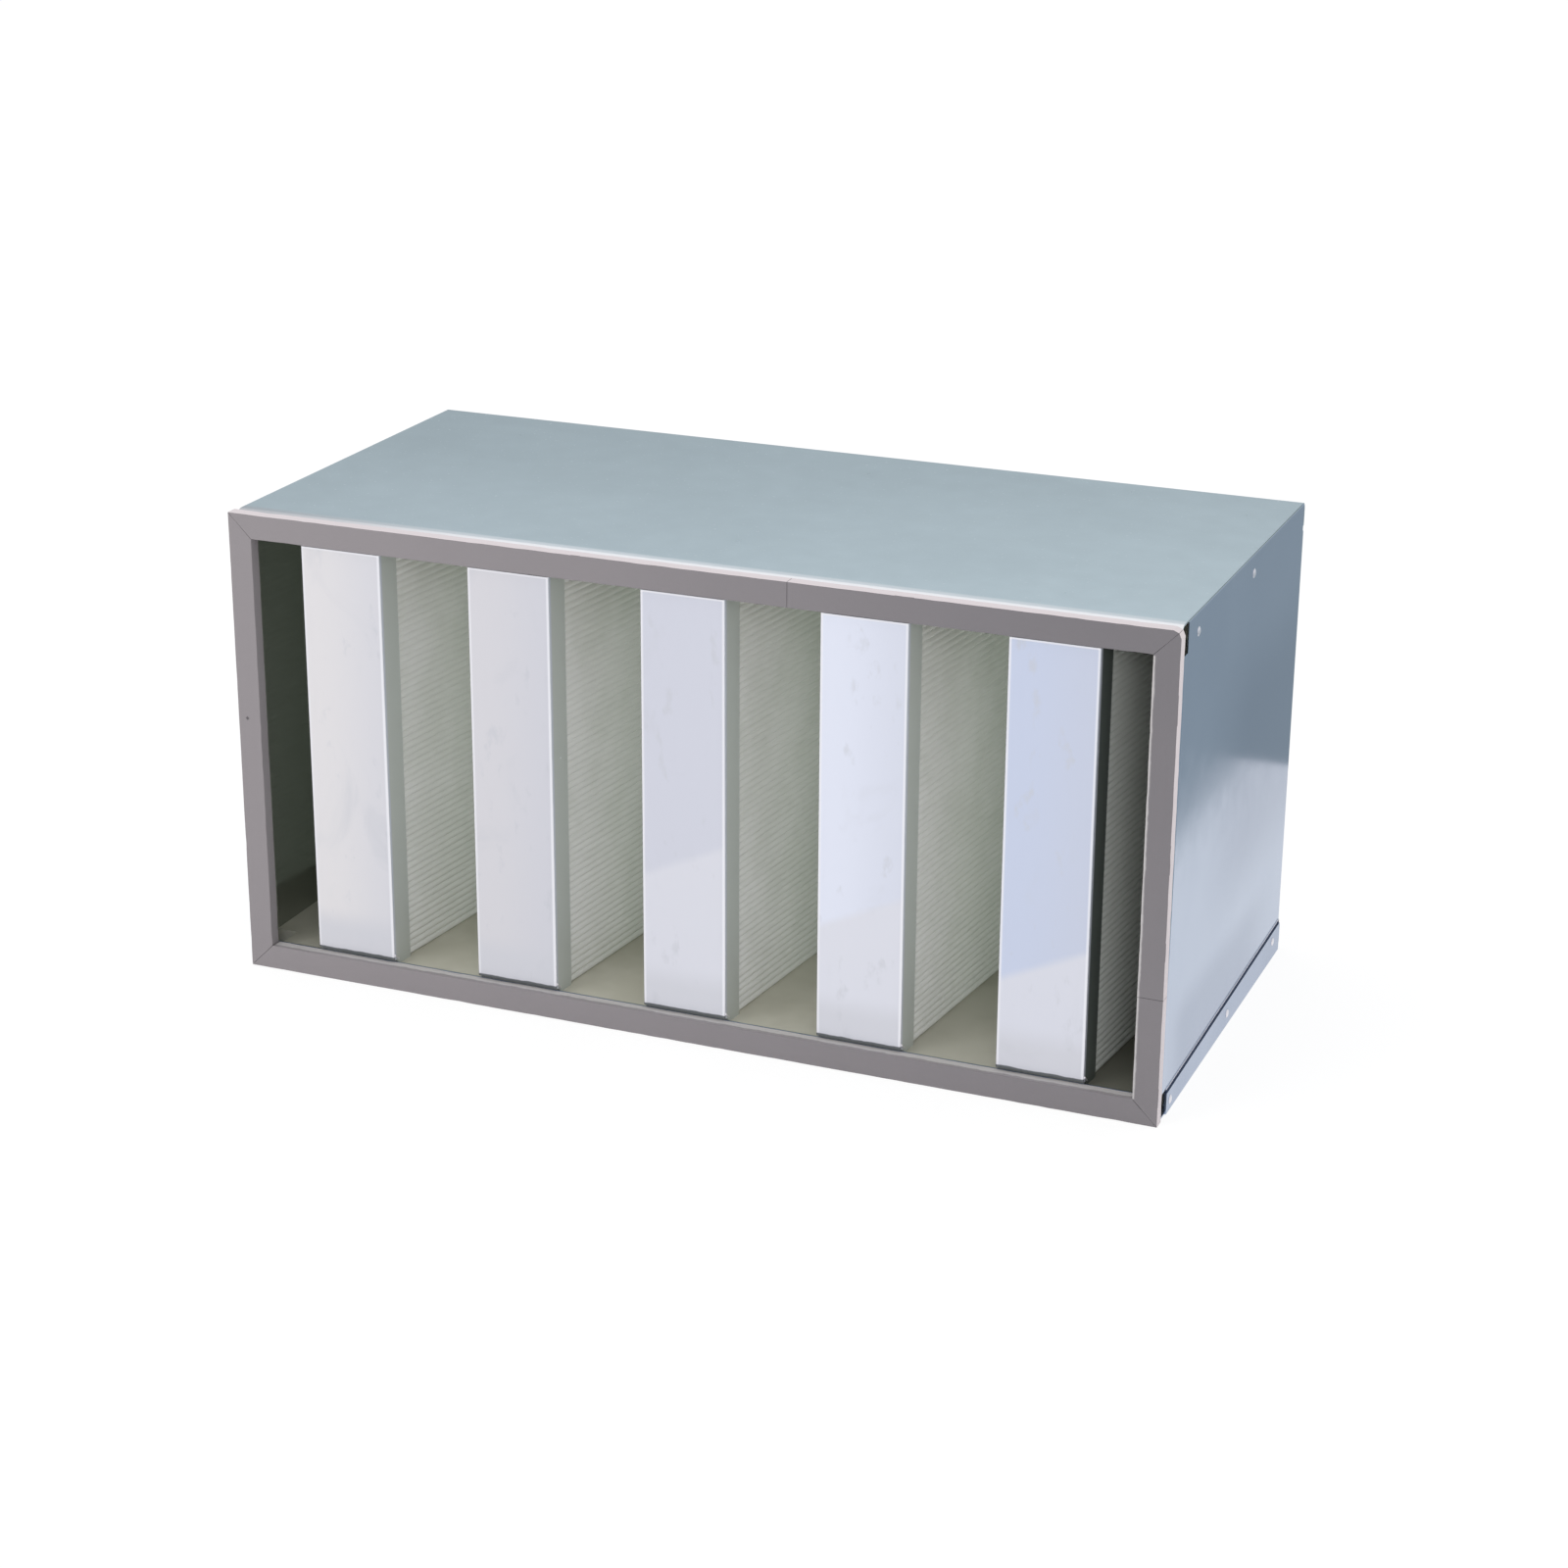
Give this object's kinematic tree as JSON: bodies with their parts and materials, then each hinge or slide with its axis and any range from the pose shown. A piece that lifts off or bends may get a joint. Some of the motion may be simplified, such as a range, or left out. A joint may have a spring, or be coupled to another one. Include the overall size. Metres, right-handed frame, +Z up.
{
  "type": "hepa filter panel",
  "caption": "Boxed V-bank air filter: galvanised case, pleated media packs set in Vs behind bright channel caps, and a foam gasket round the front face.",
  "frame": {"origin": "centre of the bottom face of the case's bounding box", "axes": "+X along the width, -Y out of the gasket face where air enters, +Z up"},
  "size_m": [0.6118, 0.292, 0.305],
  "materials": {
    "top_sheet": "matt galvanised sheet, light blue-grey",
    "side_sheet": "smooth galvanised sheet with soft reflections",
    "bottom_sheet": "smooth galvanised sheet",
    "cap_sheet": "bright satin sheet with faint smudges",
    "media": "matt glass-fibre paper in sharp folds",
    "potting": "cast sealing compound, beige, matt",
    "sealant": "grey sealant, matt",
    "foam": "taupe-grey closed-cell foam, matt",
    "rivet": "satin rivet heads"
  },
  "bodies": {
    "root": {"casing_bottom": "bottom_sheet", "casing_left": "side_sheet", "casing_right": "side_sheet", "casing_top": "top_sheet", "front_cap_1": "cap_sheet", "front_cap_2": "cap_sheet", "front_cap_3": "cap_sheet", "front_cap_4": "cap_sheet", "front_cap_5": "cap_sheet", "front_seal_1": "sealant", "front_seal_2": "sealant", "front_seal_3": "sealant", "front_seal_4": "sealant", "front_seal_5": "sealant", "gasket_bottom": "foam", "gasket_left": "foam", "gasket_right_lower": "foam", "gasket_right_upper": "foam", "gasket_top_left": "foam", "gasket_top_right": "foam", "media_pack_1": "media", "media_pack_10": "media", "media_pack_2": "media", "media_pack_3": "media", "media_pack_4": "media", "media_pack_5": "media", "media_pack_6": "media", "media_pack_7": "media", "media_pack_8": "media", "media_pack_9": "media", "potting_bottom": "potting", "potting_top": "potting", "rear_cap_1": "cap_sheet", "rear_cap_2": "cap_sheet", "rear_cap_3": "cap_sheet", "rear_cap_4": "cap_sheet", "rear_closer_left": "cap_sheet", "rear_closer_right": "cap_sheet", "rear_seal_1": "sealant", "rear_seal_2": "sealant", "rear_seal_3": "sealant", "rear_seal_4": "sealant", "rear_seal_left": "sealant", "rear_seal_right": "sealant", "rivets_left": "rivet", "rivets_right": "rivet"}
  },
  "joints": []
}
